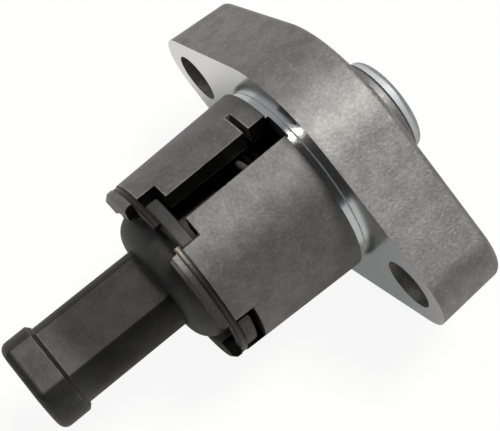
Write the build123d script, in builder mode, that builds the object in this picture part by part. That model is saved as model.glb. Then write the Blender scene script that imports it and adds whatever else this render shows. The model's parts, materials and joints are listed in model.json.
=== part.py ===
from build123d import *
from math import acos, asin, degrees, radians, sqrt, tan
import os

# Timing chain tensioner lifter, in millimetres. The origin is the centre of the mounting face.
# +X runs along the push rod, Y along the line of the two bolts, +Z through the middle of the long slot.

# Flange
bolt_spacing = 39.0
bolt_hole_radius = 3.3
flange_centre_radius = 16.2
ear_radius = 5.8
ear_draft = 3.0
flange_thickness = 9.0
flange_edge_radius = 0.9

# Rear boss with the plug hole and the seal's recess
boss_radius = 7.0
boss_height = 4.0
boss_root_radius = 2.2
boss_edge_radius = 0.6
plug_hole_radius = 3.9
seal_recess_radius = 5.3
seal_recess_depth = 1.2

# Nose, with a turned band at its root
nose_length = 19.5
nose_root_radius = 12.7
nose_draft = 2.0
nose_wall = 3.1
nose_tip_chamfer = 0.45
root_band_step = 0.6
root_band_width = 1.05
cavity_wall = 2.0
bearing_length = 2.8

# Openings of the nose: long slot, four guide notches, slit beside the slot
slot_width = 3.55
slot_start = 0.6
notch_width = 8.3
notch_depth = 4.3
notch_corner_radius = 0.5
slit_position = 3.75
slit_width = 0.75
slit_angle = 26.0

# Snap ring and its groove
ring_lip = 1.05
groove_wall = 1.1
ring_thickness = 0.8
ring_radial_width = 1.25
ring_gap = 3.3
ring_gap_angle = 9.5

# Rod guide
guide_thickness = 1.7
guide_disc_clearance = 0.3
guide_ear_inset = 0.25
guide_ear_width = 7.0
guide_ear_rounding = 0.5
guide_edge_rounding = 0.3
guide_twist = 3.0
collar_clearance = 0.7
collar_height = 3.5
collar_edge_radius = 3.0

# Push rod
rod_radius = 5.3
rod_flats = 8.5
rod_edge_rounding = 0.3
rod_twist = 6.5
rod_rear = 9.4
rod_bore_radius = 3.15
rod_bore_depth = 24.0
head_radius = 6.0
head_flats = 10.2
head_length = 4.3
head_chamfer = 0.5
head_edge_rounding = 0.6
rod_travel = 13.95
stop_gap = 0.2
tip_rounding = 1.1

# Lead screw
screw_radius = 3.0
screw_lead = 12.0
thread_starts = 3
thread_phase = 75.0
thread_groove_radius = 0.9
thread_centre_radius = 3.1
rib_setback = 2.0
rib_length = 5.5
screw_front_end = 17.2
screw_collar_radius = 4.6
screw_collar_thickness = 1.6
leg_slot_width = 1.3
leg_slot_floor = 2.6
journal_radius = 2.5
journal_tail = 0.7
driver_slot_width = 0.9
driver_slot_depth = 1.0

# Torsion spring
spring_wire_radius = 0.5
spring_wire_sides = 8
spring_mean_radius = 7.2
spring_turns = 10
spring_front = 5.8
spring_leg_reach = 3.2
spring_bend_radius = 1.6
spring_tang_bite = 0.09
spring_tang_place = -7.0

# Plug, its seal and the thrust washer
plug_head_radius = 6.3
plug_head_thickness = 1.4
plug_head_rounding = 0.8
plug_shank_length = 2.3
plug_socket_flats = 5.0
plug_socket_depth = 2.2
seal_section_radius = 0.58
washer_thickness = 0.6
washer_radius = 6.0

# Clearances
running_clearance = 0.05
seat_clearance = 0.02
rod_clearance = 0.08
rod_flat_clearance = 0.22
thread_clearance = 0.2

# Radii that follow from the sizes above
ear_rear_radius = ear_radius - flange_thickness * tan(radians(ear_draft))
root_band_radius = nose_root_radius - root_band_step
nose_bore_radius = nose_root_radius - nose_wall
groove_floor_radius = nose_bore_radius + groove_wall
ring_inner_radius = groove_floor_radius + running_clearance
ring_outer_radius = ring_inner_radius + ring_radial_width
guide_ear_reach = ring_outer_radius - guide_ear_inset
guide_disc_radius = nose_bore_radius - guide_disc_clearance
collar_radius = nose_bore_radius - collar_clearance

# Stations along X
flange_rear = -flange_thickness
boss_end = flange_rear - boss_height
cavity_floor = flange_rear + cavity_wall
bearing_end = cavity_floor - bearing_length
groove_front = nose_length - ring_lip
groove_rear = groove_front - ring_thickness - 2 * seat_clearance
guide_front = groove_rear
guide_rear = guide_front - guide_thickness
notch_floor = nose_length - notch_depth
collar_front = guide_front + collar_height
head_rear = collar_front + rod_travel + stop_gap
rod_tip = head_rear + head_length
screw_collar_rear = cavity_floor + washer_thickness + 2 * seat_clearance
screw_collar_front = screw_collar_rear + screw_collar_thickness
journal_end = bearing_end - journal_tail
spring_rear = (screw_collar_rear + screw_collar_front) / 2

# The spring's tang leaves the last turn along its tangent and ends in the long slot.
tang_angle = degrees(acos(spring_mean_radius / (nose_bore_radius + spring_tang_bite)))
spring_front_angle = tang_angle + spring_tang_place

# The spring's leg points inwards along a radius. Its bend is tangent to the leg and to the first turn, so
# the bend's centre lies inside the turns, and the first turn starts a little before the leg's own angle.
bend_centre_radius = spring_mean_radius - spring_bend_radius
bend_foot = sqrt(bend_centre_radius**2 - spring_bend_radius**2)
bend_offset = degrees(asin(spring_bend_radius / bend_centre_radius))
coil_start_angle = 90 + spring_front_angle + 360 * spring_turns
leg_angle = coil_start_angle + bend_offset
leg_plane = Plane.YZ.rotated((leg_angle, 0, 0)).offset(spring_rear)


def nose_radius(x):
    """Outer radius of the drafted nose at the station x."""
    return nose_root_radius - (x - root_band_width) * tan(radians(nose_draft))


def thread_plane(x, start):
    """Plane across the screw at x, whose x direction points at the given start of the thread."""
    turn = thread_phase + 360.0 * (x / screw_lead + start / thread_starts)
    return Plane.YZ.rotated((turn, 0, 0)).offset(x)


def thread_path(x_from, x_to, radius, start):
    """Helix of one thread start between two stations."""
    helix = Helix(screw_lead, x_to - x_from, radius)
    return thread_plane(x_from, start).location * helix


# Die cast body: flange with two ears, rear boss and slotted nose, in one piece
flange_plane = Plane(origin=(0, 0, 0), x_dir=(0, 1, 0), z_dir=(-1, 0, 0))
with BuildPart() as tensioner_body:
    for depth, end_radius in ((0, ear_radius), (flange_thickness, ear_rear_radius)):
        with BuildSketch(flange_plane.offset(depth)) as flange_outline:
            Circle(flange_centre_radius)
            with GridLocations(bolt_spacing, 0, 2, 1):
                Circle(end_radius)
            make_hull()
    loft(ruled=True)
    fillet(tensioner_body.edges().group_by(Axis.X)[0], flange_edge_radius)

    with BuildSketch(Plane.YZ.offset(flange_rear)) as boss_outline:
        Circle(boss_radius)
    extrude(amount=-boss_height)
    boss_root = tensioner_body.edges(Select.LAST).group_by(Axis.X)[-1]
    fillet(boss_root, boss_root_radius)
    fillet(tensioner_body.edges().group_by(Axis.X)[0], boss_edge_radius)

    with BuildSketch(Plane.XY) as nose_profile:
        with BuildLine() as nose_outline:
            Polyline(
                (-1, 0),
                (-1, root_band_radius),
                (root_band_width, root_band_radius),
                (root_band_width, nose_root_radius),
                (nose_length - nose_tip_chamfer, nose_radius(nose_length - nose_tip_chamfer)),
                (nose_length, nose_radius(nose_length) - nose_tip_chamfer),
                (nose_length, 0),
                close=True,
            )
        make_face()
    revolve(axis=Axis.X)

    with BuildSketch(Plane.XY) as cavity_profile:
        with BuildLine() as cavity_outline:
            Polyline(
                (nose_length + 1, 0),
                (nose_length + 1, nose_bore_radius),
                (cavity_floor, nose_bore_radius),
                (cavity_floor, journal_radius + running_clearance),
                (bearing_end, journal_radius + running_clearance),
                (bearing_end, plug_hole_radius),
                (boss_end + seal_recess_depth, plug_hole_radius),
                (boss_end + seal_recess_depth, seal_recess_radius),
                (boss_end - 1, seal_recess_radius),
                (boss_end - 1, 0),
                close=True,
            )
        make_face()
    revolve(axis=Axis.X, mode=Mode.SUBTRACT)

    with BuildSketch(flange_plane) as bolt_holes:
        with GridLocations(bolt_spacing, 0, 2, 1):
            Circle(bolt_hole_radius)
    extrude(amount=flange_thickness, mode=Mode.SUBTRACT)

    with BuildSketch(Plane.XY.offset(nose_bore_radius / 2)) as long_slot:
        with Locations((slot_start, 0)):
            Rectangle(notch_floor + 1 - slot_start, slot_width, align=(Align.MIN, Align.CENTER))
    extrude(amount=nose_root_radius, mode=Mode.SUBTRACT)

    for quarter in range(4):
        notch_plane = Plane.XY.rotated((90 * quarter, 0, 0)).offset(nose_bore_radius / 2)
        with BuildSketch(notch_plane) as guide_notch:
            with Locations((notch_floor, 0)):
                RectangleRounded(
                    2 * notch_depth, notch_width, notch_corner_radius, align=(Align.MIN, Align.CENTER)
                )
        extrude(amount=nose_root_radius, mode=Mode.SUBTRACT)

    with BuildSketch(Plane.XY) as groove_profile:
        with Locations((groove_rear, groove_floor_radius)):
            Rectangle(groove_front - groove_rear, nose_root_radius, align=Align.MIN)
    revolve(axis=Axis.X, mode=Mode.SUBTRACT)

    slit_plane = Plane.XZ.rotated((slit_angle, 0, 0))
    with BuildSketch(slit_plane) as slit_profile:
        with Locations((slit_position, nose_bore_radius - 1)):
            Rectangle(slit_width, nose_root_radius, align=(Align.CENTER, Align.MIN))
    revolve(axis=Axis.X, revolution_arc=-slit_angle, mode=Mode.SUBTRACT)

# Push rod: round bar with two flats, a larger head with flats of its own, and a blind bore with thread ribs
rod_plane = Plane.YZ.rotated((-rod_twist, 0, 0))
rib_start = rod_rear + rib_setback
rib_paths = [
    thread_path(rib_start, rib_start + rib_length, thread_centre_radius, start)
    for start in range(thread_starts)
]
with BuildPart() as push_rod:
    with BuildSketch(rod_plane.offset(head_rear)) as head_profile:
        Circle(head_radius)
        Rectangle(4 * head_radius, head_flats, mode=Mode.INTERSECT)
        fillet(head_profile.vertices(), head_edge_rounding)
    extrude(amount=head_length)
    chamfer(push_rod.edges().group_by(Axis.X)[0], head_chamfer)
    fillet(push_rod.edges().group_by(Axis.X)[-1], tip_rounding)
    with BuildSketch(rod_plane.offset(rod_rear)) as shank_profile:
        Circle(rod_radius)
        Rectangle(4 * rod_radius, rod_flats, mode=Mode.INTERSECT)
        fillet(shank_profile.vertices(), rod_edge_rounding)
    extrude(amount=head_rear + head_length / 2 - rod_rear)

    with BuildSketch(Plane.XY) as rod_bore_profile:
        with BuildLine() as rod_bore_outline:
            Polyline(
                (rod_rear - 1, 0),
                (rod_rear - 1, rod_bore_radius),
                (rod_rear + rod_bore_depth, rod_bore_radius),
                (rod_rear + rod_bore_depth + rod_bore_radius / 2, 0),
                close=True,
            )
        make_face()
    revolve(axis=Axis.X, mode=Mode.SUBTRACT)

    for rib_path in rib_paths:
        with BuildSketch(Plane(origin=rib_path @ 0, z_dir=rib_path % 0)) as rib_section:
            Circle(thread_groove_radius - thread_clearance)
        sweep(path=rib_path, is_frenet=True)

# Rod guide: plate with four ears in the notches, and a rounded collar with a double-D hole
with BuildPart() as rod_guide:
    guide_plane = Plane.YZ.rotated((-guide_twist, 0, 0))
    with BuildSketch(guide_plane.offset(guide_rear)) as guide_outline:
        Rectangle(2 * guide_ear_reach, guide_ear_width)
        Rectangle(guide_ear_width, 2 * guide_ear_reach)
        Circle(guide_ear_reach, mode=Mode.INTERSECT)
        fillet(guide_outline.vertices(), guide_ear_rounding)
        Circle(guide_disc_radius)
    extrude(amount=guide_thickness)
    fillet(rod_guide.edges().group_by(Axis.X)[0], guide_edge_rounding)
    fillet(rod_guide.edges().group_by(Axis.X)[-1], guide_edge_rounding)
    with BuildSketch(guide_plane.offset(guide_front)) as collar_outline:
        Circle(collar_radius)
    extrude(amount=collar_height)
    fillet(rod_guide.edges().group_by(Axis.X)[-1], collar_edge_radius)
    with BuildSketch(rod_plane.offset(guide_rear)) as double_d:
        Circle(rod_radius + rod_clearance)
        Rectangle(
            4 * rod_radius, rod_flats + 2 * rod_flat_clearance, mode=Mode.INTERSECT
        )
    extrude(amount=guide_thickness + collar_height, mode=Mode.SUBTRACT)

# Snap ring in the nose groove, open in front of the upper ear
with BuildPart() as snap_ring:
    with BuildSketch(Plane.YZ.rotated((-ring_gap_angle, 0, 0)).offset(groove_rear + seat_clearance)):
        Circle(ring_outer_radius)
        Circle(ring_inner_radius, mode=Mode.SUBTRACT)
        with Locations((0, ring_outer_radius)):
            Rectangle(ring_gap, 4 * ring_radial_width, mode=Mode.SUBTRACT)
    extrude(amount=ring_thickness)

# Lead screw: journal with a driver slot, slotted collar and three-start threaded shaft
groove_start = rod_rear - rod_travel + rib_setback - thread_groove_radius
groove_paths = [
    thread_path(groove_start, screw_front_end + thread_groove_radius, thread_centre_radius, start)
    for start in range(thread_starts)
]
with BuildPart() as lead_screw:
    with BuildSketch(Plane.XY) as screw_profile:
        with BuildLine() as screw_outline:
            Polyline(
                (journal_end, 0),
                (journal_end, journal_radius),
                (screw_collar_rear, journal_radius),
                (screw_collar_rear, screw_collar_radius),
                (screw_collar_front, screw_collar_radius),
                (screw_collar_front, screw_radius),
                (screw_front_end, screw_radius),
                (screw_front_end, 0),
                close=True,
            )
        make_face()
    revolve(axis=Axis.X)
    for groove_path in groove_paths:
        with BuildSketch(Plane(origin=groove_path @ 0, z_dir=groove_path % 0)) as groove_section:
            Circle(thread_groove_radius)
        sweep(path=groove_path, is_frenet=True, mode=Mode.SUBTRACT)
    with BuildSketch(leg_plane) as leg_slot:
        with Locations((leg_slot_floor, 0)):
            Rectangle(screw_collar_radius, leg_slot_width, align=(Align.MIN, Align.CENTER))
    extrude(amount=screw_collar_thickness / 2, both=True, mode=Mode.SUBTRACT)
    with BuildSketch(Plane.YZ.offset(journal_end)) as driver_slot:
        Rectangle(driver_slot_width, 4 * journal_radius)
    extrude(amount=driver_slot_depth, mode=Mode.SUBTRACT)

# Thrust washer between the screw's collar and the floor of the cavity
with BuildPart() as thrust_washer:
    with BuildSketch(Plane.YZ.offset(cavity_floor + seat_clearance)) as washer_outline:
        Circle(washer_radius)
        Circle(journal_radius + running_clearance, mode=Mode.SUBTRACT)
    extrude(amount=washer_thickness)

# Torsion spring around the screw: leg in the collar's slot, left-hand turns, tang across the long slot
coil_length = spring_front - spring_rear
coil_plane = Plane.YZ.rotated((coil_start_angle, 0, 0)).offset(spring_rear)
coil = coil_plane.location * Helix(
    coil_length / spring_turns, coil_length, spring_mean_radius, lefthand=True
)
with BuildPart() as torsion_spring:
    with BuildLine() as spring_path:
        add(coil)
        Line(coil @ 1, coil @ 1 + (coil % 1) * spring_mean_radius * tan(radians(tang_angle)))
        bend = TangentArc(coil @ 0, leg_plane.from_local_coords((bend_foot, 0, 0)), tangent=-(coil % 0))
        Line(bend @ 1, bend @ 1 + (bend % 1) * (bend_foot - spring_leg_reach))
    wire = spring_path.wire()
    with BuildSketch(Plane(origin=wire @ 0, z_dir=wire % 0)) as wire_section:
        RegularPolygon(spring_wire_radius, spring_wire_sides)
    sweep(path=wire)

# Plug with a rounded collar and a hexagon socket, screwed into the rear boss
with BuildPart() as end_plug:
    with BuildSketch(Plane.YZ.offset(boss_end)) as plug_head:
        Circle(plug_head_radius)
    extrude(amount=-plug_head_thickness)
    fillet(end_plug.edges().group_by(Axis.X)[0], plug_head_rounding)
    with BuildSketch(Plane.YZ.offset(boss_end)) as plug_shank:
        Circle(plug_hole_radius - seat_clearance)
    extrude(amount=plug_shank_length)
    with BuildSketch(Plane.YZ.offset(boss_end - plug_head_thickness)) as plug_socket:
        RegularPolygon(plug_socket_flats / 2, 6, major_radius=False)
    extrude(amount=plug_socket_depth, mode=Mode.SUBTRACT)

# Sealing ring in the recess under the plug's head
with BuildPart() as plug_seal:
    with BuildSketch(Plane.XY) as seal_section:
        with Locations((boss_end + seal_recess_depth / 2, (plug_hole_radius + seal_recess_radius) / 2)):
            Circle(seal_section_radius)
    revolve(axis=Axis.X)

pieces = {
    "tensioner_body": tensioner_body,
    "push_rod": push_rod,
    "rod_guide": rod_guide,
    "snap_ring": snap_ring,
    "lead_screw": lead_screw,
    "torsion_spring": torsion_spring,
    "thrust_washer": thrust_washer,
    "end_plug": end_plug,
    "plug_seal": plug_seal,
}
os.makedirs("parts", exist_ok=True)
for name, piece in pieces.items():
    piece.part.label = name
    export_step(piece.part, f"parts/{name}.step")
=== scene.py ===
import json
import math

import bpy
from mathutils import Matrix, Vector


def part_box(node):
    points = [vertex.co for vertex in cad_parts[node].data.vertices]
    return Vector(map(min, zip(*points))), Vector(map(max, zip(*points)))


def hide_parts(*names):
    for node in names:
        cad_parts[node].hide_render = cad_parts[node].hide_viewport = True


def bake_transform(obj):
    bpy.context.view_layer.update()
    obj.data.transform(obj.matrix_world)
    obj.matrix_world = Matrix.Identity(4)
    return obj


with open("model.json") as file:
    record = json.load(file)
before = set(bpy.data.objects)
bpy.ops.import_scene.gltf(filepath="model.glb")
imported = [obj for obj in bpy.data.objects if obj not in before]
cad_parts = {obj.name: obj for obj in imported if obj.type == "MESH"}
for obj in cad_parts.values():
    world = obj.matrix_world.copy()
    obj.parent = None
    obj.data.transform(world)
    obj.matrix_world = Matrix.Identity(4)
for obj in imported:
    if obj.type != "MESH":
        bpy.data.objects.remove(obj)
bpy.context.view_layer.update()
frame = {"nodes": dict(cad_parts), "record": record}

MM = 0.001

# The photograph's camera, worked out in the row frame
CAMERA_PLACE = Vector((33.87, 66.36, 128.52)) * MM
CAMERA_RIGHT = Vector((-0.7654, 0.6226, -0.1629))
CAMERA_UP = Vector((-0.6179, -0.6403, 0.4563))
CAMERA_NEAR = 0.005
CAMERA_FAR = 10.0
FOCAL_PIXELS = 1251.4
FRAME_WIDTH = 500
SENSOR_WIDTH = 36.0

# Lamps. A lamp's width is its angle across, in degrees.
KEY_TOWARD = Vector((-0.38, 0.18, 0.91))
KEY_WIDTH = 18.0
KEY_STRENGTH = 2.76
GLINT_TOWARD = Vector((0.18, -0.17, 0.97))
GLINT_WIDTH = 9.0
GLINT_STRENGTH = 0.25
LAMP_COLOUR = (1.0, 0.965, 0.91)

# Floor. It gives part of its own white to the camera, and less of it to reflections, so its shadow stays.
FLOOR_HALF = 1.5
FLOOR_GAP = 1.0 * MM
FLOOR_LEVEL = 0.7
FLOOR_WHITE = 1.04
WHITE_TO_CAMERA = 0.88
WHITE_TO_METAL = 0.2

# Sky: two levels, the Y of a direction where each is reached, and the Z where the white low down ends
DARK_SKY = 0.02
PALE_SKY = 0.464
PALE_LIMIT = -0.8
DARK_LIMIT = 0.1
BACKDROP_TOP = 0.06

# Ends and holes of the pieces, from the frame
BODY_REAR, NOSE_TIP = (corner.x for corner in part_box("tensioner_body"))
RING_REAR, RING_FRONT = (corner.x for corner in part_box("snap_ring"))
PLUG_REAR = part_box("end_plug")[0].x
ROD_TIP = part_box("push_rod")[1].x
BOLT_HOLES = next(mount["dims"] for mount in frame["record"]["mounts"] if mount["name"] == "mounting_holes")
BOLT_PLACE = BOLT_HOLES["spacing_x_mm"] / 2 * MM
BOLT_RADIUS = BOLT_HOLES["hole_r_mm"] * MM

# Stations, radii and half widths of the casting's other surfaces
BAND_WIDTH = 1.05 * MM
BAND_RADIUS = 12.1 * MM
BORE_RADIUS = 9.6 * MM
CAVITY_FLOOR = -7.0 * MM
SLOT_REAR = 0.6 * MM
SLOT_HALF = 1.775 * MM
NOTCH_FLOOR = 15.2 * MM
NOTCH_HALF = 4.15 * MM
GROOVE_REAR = 17.61 * MM
GROOVE_FRONT = 18.45 * MM
GROOVE_RADIUS = 11.9 * MM
BOSS_EDGE = BODY_REAR + 0.5 * MM

# How far a finish reaches past the surface that it belongs to, and the width of the near-white line painted
# as a highlight along the band's corner
MARGIN = 0.05 * MM
CORNER_WIDTH = 0.11 * MM

# Where the casting's finishes fade, from none to full, along X or Y
FLANGE_FADE = (2.5 * MM, -1.0 * MM)
BOSS_FADE = (BOSS_EDGE, BOSS_EDGE - 0.2 * MM)
WEAR_FADE = (1.5 * MM, 2.5 * MM)
WEAR_SIDE_FADE = (1.0 * MM, -1.0 * MM)
LIP_SIDE_FADE = (5.0 * MM, 7.0 * MM)
TIP_SIDE_FADE = (-4.0 * MM, 2.0 * MM)

# Greys, metal shares and roughness of the casting
# Painted shade: the nose's grey is lower than the flange's, which darkens the nose against the flange
NOSE_SHADE_LEVEL = 0.188
FLANGE_LEVEL = 0.26
CUT_LEVELS = (0.72, 0.8)
# Painted highlight: the near-white grey of the line along the band's corner
CORNER_HIGHLIGHT_LEVEL = 0.92
WORN_LEVEL = 0.5
CAVITY_LEVEL = 0.2
# Painted shade: near-black greys for the walls of the openings and for the +Y front face, and a dark metal
# on the opening walls that hardly reflects
OPENING_SHADE_LEVEL = 0.03
TIP_SHADE_LEVEL = 0.035
CAST_METAL = 0.8
CUT_METAL = 0.95
CORNER_METAL = 0.15
CAVITY_METAL = 0.2
OPENING_METAL = 0.9
NOSE_ROUGHNESS = 0.6
FLANGE_ROUGHNESS = 0.56
CUT_ROUGHNESS = 0.2
CORNER_ROUGHNESS = 0.6

# Gains of the raw casting: on its blobs and grains; painted light in the bolt holes; painted shade on the
# boss's edge; painted highlight and painted shade on the +Y lip
MOTTLE_GAINS = (0.84, 1.14)
GRAIN_GAINS = (0.86, 1.08)
SPECK_GAIN = 0.4
HOLE_LIGHT_GAIN = 1.5
BOSS_SHADE_GAIN = 0.25
LIP_HIGHLIGHT_AND_SHADE_GAINS = (1.3, 0.45)

# Sizes of the blobs and grains in the finishes, and depths of their relief
MOTTLE_SIZE = 2.4 * MM
CAST_GRAIN = 0.36 * MM
CUT_GRAIN = 0.8 * MM
WORN_PATCH = 1.4 * MM
CAST_RELIEF = 0.035 * MM
STEEL_GRAIN = 0.35 * MM
STEEL_PATCH = 0.9 * MM
STEEL_RELIEF = 0.012 * MM
OIL_SIZE = 1.5 * MM
OIL_RELIEF = 0.01 * MM
PLATE_CLOUD = 1.2 * MM
PLATE_GRAIN = 0.3 * MM
PLATE_RELIEF = 0.012 * MM
RUBBER_GRAIN = 0.5 * MM

# How far from an edge each metal is worn, and the samples that look for the edge
CAST_WEAR = 0.4 * MM
STEEL_WEAR = 0.3 * MM
EDGE_SAMPLES = 6

# Details of the steel pieces
HEAD_START = ROD_TIP - 4.3 * MM
HEAD_FADE = 4.0 * MM
LINE_MIDDLE = (RING_REAR + RING_FRONT) / 2
LINE_HALF = 0.14 * MM
LINE_EDGE = 0.26 * MM
LINE_WANDER = 0.1 * MM
LINE_WANDER_SIZE = 1.2 * MM
# Where the ring's painted highlight line is full, along Z and along Y
LINE_UP_FADE = (5.0 * MM, 10.0 * MM)
LINE_SIDE_FADE = (2.0 * MM, 4.0 * MM)
TANG_FADE = (7.9 * MM, 8.3 * MM)
PLUG_EDGE = PLUG_REAR + 0.9 * MM
PLUG_FADE = (PLUG_EDGE, PLUG_EDGE - 0.4 * MM)

# Torsion spring. Its angles are measured about X, from +Y towards +Z.
WIRE_RADIUS = 0.48 * MM
WIRE_ROUNDING = 3
COIL_RADIUS = 7.2 * MM
COIL_TURNS = 10
COIL_REAR = -5.56 * MM
COIL_FRONT = 5.8 * MM
COIL_END_ANGLE = math.radians(125.0)
STEPS_PER_TURN = 48
TANG_LENGTH = 6.48 * MM
LEG_BEND_RADIUS = 1.6 * MM
LEG_BEND_STEPS = 12
LEG_REACH = 3.2 * MM


class Graph:
    """The nodes of a material or of the sky, with a short call for each kind."""

    def __init__(self, owner):
        owner.use_nodes = True
        self.tree = owner.node_tree

    def node(self, kind, **values):
        made = self.tree.nodes.new(kind)
        for name, value in values.items():
            setattr(made, name, value)
        return made

    def join(self, source, target):
        """Feeds a socket from another socket or from a plain value."""
        if isinstance(source, bpy.types.NodeSocket):
            self.tree.links.new(source, target)
        else:
            target.default_value = source

    def math(self, operation, *inputs):
        made = self.node("ShaderNodeMath", operation=operation)
        for source, target in zip(inputs, made.inputs):
            self.join(source, target)
        return made.outputs[0]

    def all_of(self, *shares):
        """The product of several shares."""
        product = shares[0]
        for share in shares[1:]:
            product = self.math("MULTIPLY", product, share)
        return product

    def any_of(self, *shares):
        """The largest of several shares."""
        largest = shares[0]
        for share in shares[1:]:
            largest = self.math("MAXIMUM", largest, share)
        return largest

    def fade(self, value, none, full):
        """0 at none, 1 at full, smooth between them and level outside. Full may lie below none."""
        made = self.node("ShaderNodeMapRange", interpolation_type="SMOOTHSTEP")
        made.inputs["From Min"].default_value = min(none, full)
        made.inputs["From Max"].default_value = max(none, full)
        made.inputs["To Min"].default_value = 0.0 if none < full else 1.0
        made.inputs["To Max"].default_value = 1.0 if none < full else 0.0
        self.join(value, made.inputs["Value"])
        return made.outputs[0]

    def blend(self, share, first, second):
        """A colour mixed by share: first at 0, second at 1."""
        made = self.node("ShaderNodeMix", data_type="RGBA")
        self.join(share, made.inputs[0])
        self.join(first, made.inputs[6])
        self.join(second, made.inputs[7])
        return made.outputs[2]

    def blend_value(self, share, first, second):
        """A number mixed by share: first at 0, second at 1."""
        made = self.node("ShaderNodeMix", data_type="FLOAT")
        self.join(share, made.inputs[0])
        self.join(first, made.inputs[2])
        self.join(second, made.inputs[3])
        return made.outputs[0]

    def axis(self, vector, name):
        """The X, Y or Z of a vector."""
        made = self.node("ShaderNodeSeparateXYZ")
        self.join(vector, made.inputs[0])
        return made.outputs[name]

    def rays(self):
        """1 on the camera's own rays, and 1 on the rays that metal and glass send on."""
        path = self.node("ShaderNodeLightPath")
        sent_on = self.any_of(path.outputs["Is Glossy Ray"], path.outputs["Is Transmission Ray"])
        return path.outputs["Is Camera Ray"], sent_on


class Finish(Graph):
    """A material that follows the place on the object and the way the surface faces."""

    def __init__(self, name):
        self.material = bpy.data.materials.new(name)
        super().__init__(self.material)
        coords = self.node("ShaderNodeTexCoord")
        self.place = coords.outputs["Object"]
        self.facing = coords.outputs["Normal"]

    def noise(self, size, detail=4, roughness=0.5):
        """Noise from 0 to 1 whose blobs are about the given size, in metres."""
        made = self.node("ShaderNodeTexNoise")
        made.inputs["Scale"].default_value = 1.0 / size
        made.inputs["Detail"].default_value = detail
        made.inputs["Roughness"].default_value = roughness
        self.join(self.place, made.inputs["Vector"])
        return made.outputs["Fac"]

    def scaled(self, colour, gain):
        made = self.node("ShaderNodeVectorMath", operation="SCALE")
        self.join(colour, made.inputs[0])
        self.join(gain, made.inputs["Scale"])
        return made.outputs[0]

    def off_axis(self):
        """Distance from the X axis."""
        side = self.axis(self.place, "Y")
        up = self.axis(self.place, "Z")
        return self.math("SQRT", self.math("ADD", self.all_of(side, side), self.all_of(up, up)))

    def bump(self, height, depth):
        """Relief of the given depth, in metres, where height runs from 0 to 1."""
        made = self.node("ShaderNodeBump")
        made.inputs["Strength"].default_value = 1.0
        made.inputs["Distance"].default_value = depth
        self.join(height, made.inputs["Height"])
        return made.outputs[0]

    def edges(self, radius, none, full):
        """Share of edge, from how far the surface within the radius turns away from its own normal."""
        rounded = self.node("ShaderNodeBevel", samples=EDGE_SAMPLES)
        rounded.inputs["Radius"].default_value = radius
        flat = self.node("ShaderNodeNewGeometry")
        product = self.node("ShaderNodeVectorMath", operation="DOT_PRODUCT")
        self.join(rounded.outputs[0], product.inputs[0])
        self.join(flat.outputs["Normal"], product.inputs[1])
        return self.fade(self.math("SUBTRACT", 1.0, product.outputs["Value"]), none, full)

    def complete(self, colour, metal, roughness, relief=None):
        """Feeds the shader and gives the material."""
        shader = self.tree.nodes["Principled BSDF"]
        self.join(colour, shader.inputs["Base Color"])
        self.join(metal, shader.inputs["Metallic"])
        self.join(roughness, shader.inputs["Roughness"])
        if relief is not None:
            self.join(relief, shader.inputs["Normal"])
        return self.material


def grey(level, warmth=0.0, green=0.0):
    """A grey as RGBA. Positive warmth leans to brown, negative to blue."""
    return (level * (1 + warmth), level * (1 + green), level * (1 - warmth), 1.0)


# Shares and gains of the darkened steels
STEEL_GAINS = (0.82, 1.18, 1.5)
STEEL_GRAIN_SHARE = 0.3
STEEL_WEAR_SHARE = 0.7
ROUGHNESS_SPREAD = 0.04
FLAT_GAIN = 1.6
HEAD_GAIN = 2.0
# Share of the ring's painted highlight line away from its lit part
UNLIT_SHARE = 0.3

# Colours and roughness of the line on the ring, a painted highlight; of the oiled steel, with a painted
# highlight on the tang; of the plate, with painted dark reflection on its back; and of the rubber
LINE_HIGHLIGHT_COLOUR = grey(0.11, 0.12)
LINE_ROUGHNESS = 0.34
OIL_COLOURS = (grey(0.025, 0.02), grey(0.04, 0.03))
OIL_ROUGHNESS = (0.3, 0.42)
TANG_HIGHLIGHT_COLOUR = grey(0.7)
RIM_COLOURS = (grey(0.58, -0.07), grey(0.73, -0.06))
BACK_SHADE_COLOURS = (grey(0.32, -0.06), grey(0.42, -0.06))
PLATE_ROUGHNESS = (0.6, 0.42)
PLATE_METAL = (0.45, 0.85)
RUBBER_COLOURS = (grey(0.015), grey(0.035))
RUBBER_ROUGHNESS = (0.45, 0.6)


def on_machined(g):
    """1 on the mounting face and on the turned band at the nose's root."""
    beside = g.math("ABSOLUTE", g.axis(g.place, "X"))
    face = g.all_of(g.fade(beside, 2 * MARGIN, MARGIN), g.fade(g.axis(g.facing, "X"), 0.7, 0.9))
    band = g.all_of(
        g.math("LESS_THAN", g.off_axis(), BAND_RADIUS + MARGIN),
        g.math("GREATER_THAN", g.off_axis(), BAND_RADIUS - MARGIN),
        g.math("LESS_THAN", beside, BAND_WIDTH),
    )
    return g.any_of(face, band)


def on_corner_highlight(g):
    """1 along the corner between the mounting face and the turned band, where a near-white line is painted
    as a highlight.
    """
    beside = g.math("ABSOLUTE", g.axis(g.place, "X"))
    core = 0.6 * CORNER_WIDTH
    return g.all_of(
        g.fade(beside, CORNER_WIDTH, core),
        g.fade(g.off_axis(), BAND_RADIUS + CORNER_WIDTH, BAND_RADIUS + core),
    )


def in_cavity(g):
    """1 on the wall and floor of the nose's cavity."""
    return g.all_of(
        g.math("GREATER_THAN", g.axis(g.place, "X"), CAVITY_FLOOR - MARGIN),
        g.math("LESS_THAN", g.off_axis(), BORE_RADIUS + MARGIN),
    )


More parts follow.
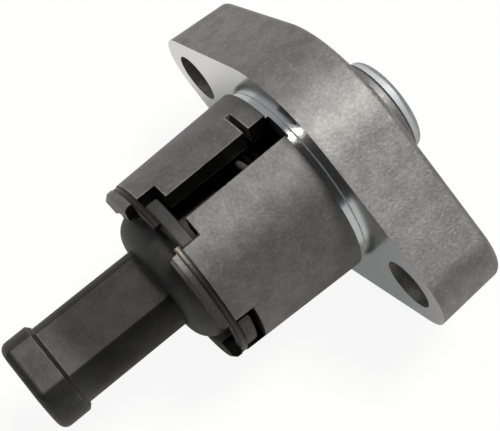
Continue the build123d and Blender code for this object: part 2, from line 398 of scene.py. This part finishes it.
def in_shaded_openings(g):
    """1 on the walls of the nose's slot, notches and groove, where a near-black grey is painted as shade.
    """
    station = g.axis(g.place, "X")
    across = g.math("ABSOLUTE", g.axis(g.place, "Y"))
    up = g.axis(g.place, "Z")
    slot = g.all_of(
        g.math("GREATER_THAN", station, SLOT_REAR + MARGIN),
        g.math("LESS_THAN", across, SLOT_HALF + MARGIN),
        g.math("GREATER_THAN", up, 0.0),
    )
    notch = g.all_of(
        g.math("GREATER_THAN", station, NOTCH_FLOOR - MARGIN),
        g.math("LESS_THAN", g.math("MINIMUM", across, g.math("ABSOLUTE", up)), NOTCH_HALF + MARGIN),
    )
    groove = g.all_of(
        g.math("GREATER_THAN", station, GROOVE_REAR - MARGIN),
        g.math("LESS_THAN", station, GROOVE_FRONT + MARGIN),
        g.math("LESS_THAN", g.off_axis(), GROOVE_RADIUS),
    )
    return g.any_of(notch, groove, slot)


def in_bolt_hole(g):
    """1 on the walls of the two bolt holes."""
    across = g.math("SUBTRACT", g.math("ABSOLUTE", g.axis(g.place, "Y")), BOLT_PLACE)
    up = g.axis(g.place, "Z")
    from_middle = g.math("SQRT", g.math("ADD", g.all_of(across, across), g.all_of(up, up)))
    return g.all_of(
        g.math("LESS_THAN", from_middle, BOLT_RADIUS + MARGIN),
        g.fade(g.math("ABSOLUTE", g.axis(g.facing, "X")), 0.5, 0.3),
    )


def on_shaded_tip(g):
    """1 on the nose's front face on the +Y side, where a near-black grey is painted as shade."""
    return g.all_of(
        g.math("GREATER_THAN", g.axis(g.place, "X"), NOSE_TIP - MARGIN),
        g.fade(g.axis(g.facing, "X"), 0.8, 0.95),
        g.fade(g.axis(g.place, "Y"), *TIP_SIDE_FADE),
    )


def cast_skin(g, on_flange, grain):
    """Colour of the raw casting: mottled and sandy, with rubbed edges on the -Y side of the nose, painted
    shade on the nose, the boss's edge and the +Y lip, a painted highlight on that lip near the notch, and
    painted light in the bolt holes.
    """
    station = g.axis(g.place, "X")
    side = g.axis(g.place, "Y")
    # Painted shade: a darker grey on the nose than on the flange
    level = g.blend(on_flange, grey(NOSE_SHADE_LEVEL, 0.01, 0.01), grey(FLANGE_LEVEL))
    mottle = g.fade(g.noise(MOTTLE_SIZE, detail=5, roughness=0.7), 0.32, 0.68)
    mottle_gain = g.blend_value(mottle, *MOTTLE_GAINS)
    grain_gain = g.blend_value(g.fade(grain, 0.3, 0.7), *GRAIN_GAINS)
    specks = g.fade(g.noise(CAST_GRAIN, detail=2, roughness=0.6), 0.66, 0.76)
    speck_gain = g.math("MULTIPLY", specks, SPECK_GAIN)
    skin = g.scaled(level, g.math("ADD", g.all_of(mottle_gain, grain_gain), speck_gain))

    # Painted light: the walls of the bolt holes are lightened over the casting's skin
    hole_light_gain = g.blend_value(in_bolt_hole(g), 1.0, HOLE_LIGHT_GAIN)
    # Painted shade: a dark line round the boss's rounded edge, next to the plug
    boss_shade_gain = g.blend_value(g.fade(station, *BOSS_FADE), 1.0, BOSS_SHADE_GAIN)
    # On the +Y lip: a painted highlight close to the notch (Y below 5 mm) and painted shade further out
    on_lip = g.all_of(g.math("GREATER_THAN", station, GROOVE_FRONT), g.math("GREATER_THAN", side, 0.0))
    lip_highlight_and_shade_gain = g.blend_value(on_lip, 1.0, g.blend_value(g.fade(side, *LIP_SIDE_FADE), *LIP_HIGHLIGHT_AND_SHADE_GAINS))
    skin = g.scaled(skin, g.all_of(hole_light_gain, boss_shade_gain, lip_highlight_and_shade_gain))

    rubbed = g.all_of(
        g.edges(CAST_WEAR, 0.01, 0.14),
        g.fade(g.noise(WORN_PATCH), 0.3, 0.6),
        g.fade(station, *WEAR_FADE),
        g.math("LESS_THAN", station, GROOVE_REAR),
        g.fade(side, *WEAR_SIDE_FADE),
    )
    return g.blend(rubbed, skin, grey(WORN_LEVEL))


def cast_aluminium():
    """Sandy die-cast skin, with a machined mounting face and a turned band at the nose's root. Its openings
    and +Y front face are painted near-black as shade, and the band's corner carries a painted highlight
    line.
    """
    g = Finish("cast aluminium")
    on_flange = g.fade(g.axis(g.place, "X"), *FLANGE_FADE)
    machined = on_machined(g)
    corner = on_corner_highlight(g)
    cavity = in_cavity(g)
    # Painted shade on the +Y front face of the nose
    shaded_tip = on_shaded_tip(g)
    # dull: the openings and the +Y front face, painted near-black as shade, and the cavity, which keeps a
    # plain grey
    dull = g.any_of(in_shaded_openings(g), cavity, shaded_tip)
    grain = g.noise(CAST_GRAIN, detail=3, roughness=0.6)

    low_cut, high_cut = (grey(level, -0.02) for level in CUT_LEVELS)
    cut = g.blend(g.noise(CUT_GRAIN, detail=3), low_cut, high_cut)
    # Painted shade: near-black for the walls of the openings
    opening_shade_or_cavity = g.blend(cavity, grey(OPENING_SHADE_LEVEL), grey(CAVITY_LEVEL))
    colour = g.blend(machined, cast_skin(g, on_flange, grain), cut)
    colour = g.blend(dull, colour, g.blend(shaded_tip, opening_shade_or_cavity, grey(TIP_SHADE_LEVEL, 0.02)))
    # Painted highlight: a near-white, matte line along the corner
    colour = g.blend(corner, colour, grey(CORNER_HIGHLIGHT_LEVEL))

    metal = g.blend_value(machined, CAST_METAL, CUT_METAL)
    metal = g.blend_value(dull, metal, g.blend_value(cavity, OPENING_METAL, CAVITY_METAL))
    metal = g.blend_value(corner, metal, CORNER_METAL)
    roughness = g.blend_value(on_flange, NOSE_ROUGHNESS, FLANGE_ROUGHNESS)
    roughness = g.blend_value(machined, roughness, CUT_ROUGHNESS)
    roughness = g.blend_value(corner, roughness, CORNER_ROUGHNESS)
    plain = g.math("SUBTRACT", 1.0, g.any_of(machined, dull))
    return g.complete(colour, metal, roughness, g.bump(g.all_of(grain, plain), CAST_RELIEF))


def steel_skin(g, level, worn, roughness, warmth, green=0.0):
    """Colour, roughness and relief of the darkened steels. Their edges are worn to a second grey."""
    cloud = g.fade(g.noise(MOTTLE_SIZE, detail=4, roughness=0.6), 0.3, 0.7)
    grain = g.noise(STEEL_GRAIN, detail=3, roughness=0.6)
    darker, lighter, lightest = (grey(level * gain, warmth, green) for gain in STEEL_GAINS)
    grain_share = g.math("MULTIPLY", g.fade(grain, 0.4, 0.7), STEEL_GRAIN_SHARE)
    base = g.blend(grain_share, g.blend(cloud, darker, lighter), lightest)
    patches = g.fade(g.noise(STEEL_PATCH, detail=3), 0.3, 0.6)
    wear = g.all_of(g.edges(STEEL_WEAR, 0.004, 0.04), patches, STEEL_WEAR_SHARE)
    colour = g.blend(wear, base, grey(worn, warmth, green))
    rough = g.blend_value(grain, roughness + ROUGHNESS_SPREAD, roughness - ROUGHNESS_SPREAD)
    return colour, rough, g.bump(grain, STEEL_RELIEF)


def rod_steel():
    """Heat-treated steel, lighter on the flats and most of all on the head."""
    g = Finish("rod steel")
    colour, rough, relief = steel_skin(g, level=0.028, worn=0.075, roughness=0.54, warmth=0.015, green=0.03)
    on_flat = g.fade(g.math("ABSOLUTE", g.axis(g.facing, "Z")), 0.97, 0.995)
    on_head = g.fade(g.axis(g.place, "X"), HEAD_START - HEAD_FADE, HEAD_START)
    gain = g.all_of(g.blend_value(on_flat, 1.0, FLAT_GAIN), g.blend_value(on_head, 1.0, HEAD_GAIN))
    return g.complete(g.scaled(colour, gain), metal=0.95, roughness=rough, relief=relief)


def guide_steel():
    """Blackened sintered steel, matte."""
    g = Finish("guide steel")
    colour, rough, relief = steel_skin(g, level=0.05, worn=0.1, roughness=0.58, warmth=-0.02, green=0.01)
    return g.complete(colour, metal=0.5, roughness=rough, relief=relief)


def ring_steel():
    """Spring steel, dull and black but for a glossier brownish line round the middle of the rim, painted
    brighter as a highlight on its upper +Y part.
    """
    g = Finish("ring steel")
    colour, rough, relief = steel_skin(g, level=0.025, worn=0.06, roughness=0.5, warmth=0.03)
    beside = g.math("ABSOLUTE", g.math("SUBTRACT", g.axis(g.place, "X"), LINE_MIDDLE))
    wander = g.math("MULTIPLY", g.noise(LINE_WANDER_SIZE), LINE_WANDER)
    # Painted highlight: the line is full only where the highlight falls, up and towards +Y
    highlight_side = g.all_of(
        g.fade(g.axis(g.place, "Z"), *LINE_UP_FADE),
        g.fade(g.axis(g.place, "Y"), *LINE_SIDE_FADE),
    )
    on_line = g.fade(g.math("ADD", beside, wander), LINE_EDGE, LINE_HALF)
    line = g.all_of(on_line, g.blend_value(highlight_side, UNLIT_SHARE, 1.0))
    colour = g.blend(line, colour, LINE_HIGHLIGHT_COLOUR)
    rough = g.blend_value(line, rough, LINE_ROUGHNESS)
    return g.complete(colour, metal=0.95, roughness=rough, relief=relief)


def oiled_steel():
    """Dark oily steel. The spring's tang, out at the cavity's wall, is painted light grey as a highlight.
    """
    g = Finish("oiled steel")
    cloud = g.noise(OIL_SIZE)
    oiled = g.blend(cloud, *OIL_COLOURS)
    # Painted highlight: the tang, where it crosses the long slot, is painted light grey
    colour = g.blend(g.fade(g.off_axis(), *TANG_FADE), oiled, TANG_HIGHLIGHT_COLOUR)
    rough = g.blend_value(cloud, *OIL_ROUGHNESS)
    return g.complete(colour, metal=0.9, roughness=rough, relief=g.bump(cloud, OIL_RELIEF))


def zinc_plate():
    """Bluish zinc plate: bright on the rim, and a duller metal from its rounded edge to the back, darkened
    there as a painted dark reflection.
    """
    g = Finish("zinc plate")
    cloud = g.noise(PLATE_CLOUD, detail=4, roughness=0.6)
    grain = g.noise(PLATE_GRAIN, detail=3, roughness=0.6)
    at_back = g.fade(g.axis(g.place, "X"), *PLUG_FADE)
    bright = g.blend(cloud, *RIM_COLOURS)
    # Painted dark reflection: darker greys from the rounded edge to the back
    dull = g.blend(cloud, *BACK_SHADE_COLOURS)
    rough = g.math("ADD", g.blend_value(at_back, *PLATE_ROUGHNESS), g.math("MULTIPLY", grain, 0.12))
    metal = g.blend_value(at_back, *PLATE_METAL)
    return g.complete(g.blend(at_back, bright, dull), metal, rough, g.bump(grain, PLATE_RELIEF))


def seal_rubber():
    """Matte black rubber."""
    g = Finish("seal rubber")
    cloud = g.noise(RUBBER_GRAIN, detail=3)
    colour = g.blend(cloud, *RUBBER_COLOURS)
    return g.complete(colour, metal=0.0, roughness=g.blend_value(cloud, *RUBBER_ROUGHNESS))


def spring_route():
    """Points along the wire: leg, bend, left-hand turns and the tang that crosses the long slot."""

    def point(x, radius, angle):
        return Vector((x, radius * math.cos(angle), radius * math.sin(angle)))

    full_angle = 2 * math.pi * COIL_TURNS
    start = COIL_END_ANGLE + full_angle
    bend_centre_radius = COIL_RADIUS - LEG_BEND_RADIUS
    leg_offset = math.asin(LEG_BEND_RADIUS / bend_centre_radius)
    bend_centre = point(0, bend_centre_radius, start)
    bend_sweep = math.pi / 2 + leg_offset
    points = [point(COIL_REAR, LEG_REACH, start + leg_offset)]
    for step in range(LEG_BEND_STEPS + 1):
        angle = start + bend_sweep * (1 - step / LEG_BEND_STEPS)
        points.append(bend_centre + point(COIL_REAR, LEG_BEND_RADIUS, angle))

    steps = COIL_TURNS * STEPS_PER_TURN
    for step in range(1, steps + 1):
        share = step / steps
        x = COIL_REAR + share * (COIL_FRONT - COIL_REAR)
        points.append(point(x, COIL_RADIUS, start - full_angle * share))

    rise = (COIL_FRONT - COIL_REAR) / full_angle
    tang = point(rise, COIL_RADIUS, COIL_END_ANGLE - math.pi / 2).normalized()
    points.append(points[-1] + tang * TANG_LENGTH)
    return points


def wire_mesh(name, route, radius):
    """A round wire through the points of a route."""
    curve = bpy.data.curves.new(name, "CURVE")
    curve.dimensions = "3D"
    curve.bevel_depth = radius
    curve.bevel_resolution = WIRE_ROUNDING
    curve.use_fill_caps = True
    spline = curve.splines.new("POLY")
    spline.points.add(len(route) - 1)
    for target, place in zip(spline.points, route):
        target.co = (*place, 1.0)
    carrier = bpy.data.objects.new(name, curve)
    mesh = bpy.data.meshes.new_from_object(carrier)
    bpy.data.objects.remove(carrier)
    for face in mesh.polygons:
        face.use_smooth = True
    return mesh


def wound_spring(material):
    """Round wire in place of the eight-sided one. Its leg follows the screw, and its tang the housing."""
    mesh = wire_mesh("spring wire", spring_route(), WIRE_RADIUS)
    mesh.materials.clear()
    mesh.materials.append(material)
    spring = bpy.data.objects.new("wound_spring", mesh)
    bpy.context.scene.collection.objects.link(spring)
    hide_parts("torsion_spring")
    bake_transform(spring)


def assign(node, material):
    """Gives a CAD node its finish."""
    obj = frame["nodes"][node]
    obj.data.materials.clear()
    obj.data.materials.append(material)


def far_lamp(name, toward, width, strength):
    """A sun that stands in the given direction."""
    data = bpy.data.lights.new(name, "SUN")
    data.angle = math.radians(width)
    data.color = LAMP_COLOUR
    data.energy = strength
    lamp = bpy.data.objects.new(name, data)
    lamp.rotation_euler = toward.to_track_quat("Z", "Y").to_euler()
    bpy.context.scene.collection.objects.link(lamp)


def photo_camera():
    """The camera that sees the object as the photograph does."""
    data = bpy.data.cameras.new("camera")
    data.sensor_fit = "HORIZONTAL"
    data.sensor_width = SENSOR_WIDTH
    data.lens = FOCAL_PIXELS / FRAME_WIDTH * SENSOR_WIDTH
    data.clip_start = CAMERA_NEAR
    data.clip_end = CAMERA_FAR
    camera = bpy.data.objects.new("camera", data)
    right = CAMERA_RIGHT.normalized()
    back = right.cross(CAMERA_UP).normalized()
    up = back.cross(right)
    turn = Matrix((right, up, back)).transposed().to_4x4()
    camera.matrix_world = Matrix.Translation(CAMERA_PLACE) @ turn
    bpy.context.scene.collection.objects.link(camera)
    bpy.context.scene.camera = camera


def floor_paint():
    """Pale paint, whitened for the camera and a little in reflections."""
    material = bpy.data.materials.new("floor paint")
    g = Graph(material)
    g.tree.nodes.clear()
    paint = g.node("ShaderNodeBsdfDiffuse")
    paint.inputs["Color"].default_value = grey(FLOOR_LEVEL)
    glow = g.node("ShaderNodeEmission")
    glow.inputs["Strength"].default_value = FLOOR_WHITE
    to_camera, to_metal = g.rays()
    camera_share = g.math("MULTIPLY", to_camera, WHITE_TO_CAMERA)
    metal_share = g.math("MULTIPLY", to_metal, WHITE_TO_METAL)
    mix = g.node("ShaderNodeMixShader")
    output = g.node("ShaderNodeOutputMaterial")
    g.join(g.math("ADD", camera_share, metal_share), mix.inputs[0])
    g.join(paint.outputs[0], mix.inputs[1])
    g.join(glow.outputs[0], mix.inputs[2])
    g.join(mix.outputs[0], output.inputs["Surface"])
    return material


def floor(height):
    """A level floor under the object. It isn't part of the object."""
    mesh = bpy.data.meshes.new("floor")
    corners = [(x * FLOOR_HALF, y * FLOOR_HALF, height) for x, y in ((-1, -1), (1, -1), (1, 1), (-1, 1))]
    mesh.from_pydata(corners, [], [(0, 1, 2, 3)])
    mesh.materials.append(floor_paint())
    obj = bpy.data.objects.new("floor", mesh)
    bpy.context.scene.collection.objects.link(obj)


def studio_world():
    """A sky, dark over +Y and paler over -Y. The camera sees it white, and so does metal low down."""
    world = bpy.data.worlds.new("studio")
    bpy.context.scene.world = world
    g = Graph(world)
    g.tree.nodes.clear()
    direction = g.node("ShaderNodeTexCoord").outputs["Generated"]
    level = g.blend_value(g.fade(g.axis(direction, "Y"), PALE_LIMIT, DARK_LIMIT), PALE_SKY, DARK_SKY)
    low_down = g.fade(g.axis(direction, "Z"), BACKDROP_TOP, 0.0)
    to_camera, to_metal = g.rays()
    white = g.any_of(to_camera, g.all_of(to_metal, low_down))
    sky = g.node("ShaderNodeBackground")
    sky.inputs["Color"].default_value = grey(1.0)
    output = g.node("ShaderNodeOutputWorld")
    g.join(g.blend_value(white, level, 1.0), sky.inputs["Strength"])
    g.join(sky.outputs[0], output.inputs["Surface"])


bpy.context.scene.view_settings.view_transform = "Standard"
photo_camera()
studio_world()
floor(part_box("tensioner_body")[0].z - FLOOR_GAP)
far_lamp("key", KEY_TOWARD, KEY_WIDTH, KEY_STRENGTH)
far_lamp("glint", GLINT_TOWARD, GLINT_WIDTH, GLINT_STRENGTH)

assign("tensioner_body", cast_aluminium())
assign("push_rod", rod_steel())
assign("rod_guide", guide_steel())
assign("snap_ring", ring_steel())
screw_steel = oiled_steel()
assign("lead_screw", screw_steel)
assign("thrust_washer", screw_steel)
wound_spring(screw_steel)
assign("end_plug", zinc_plate())
assign("plug_seal", seal_rubber())
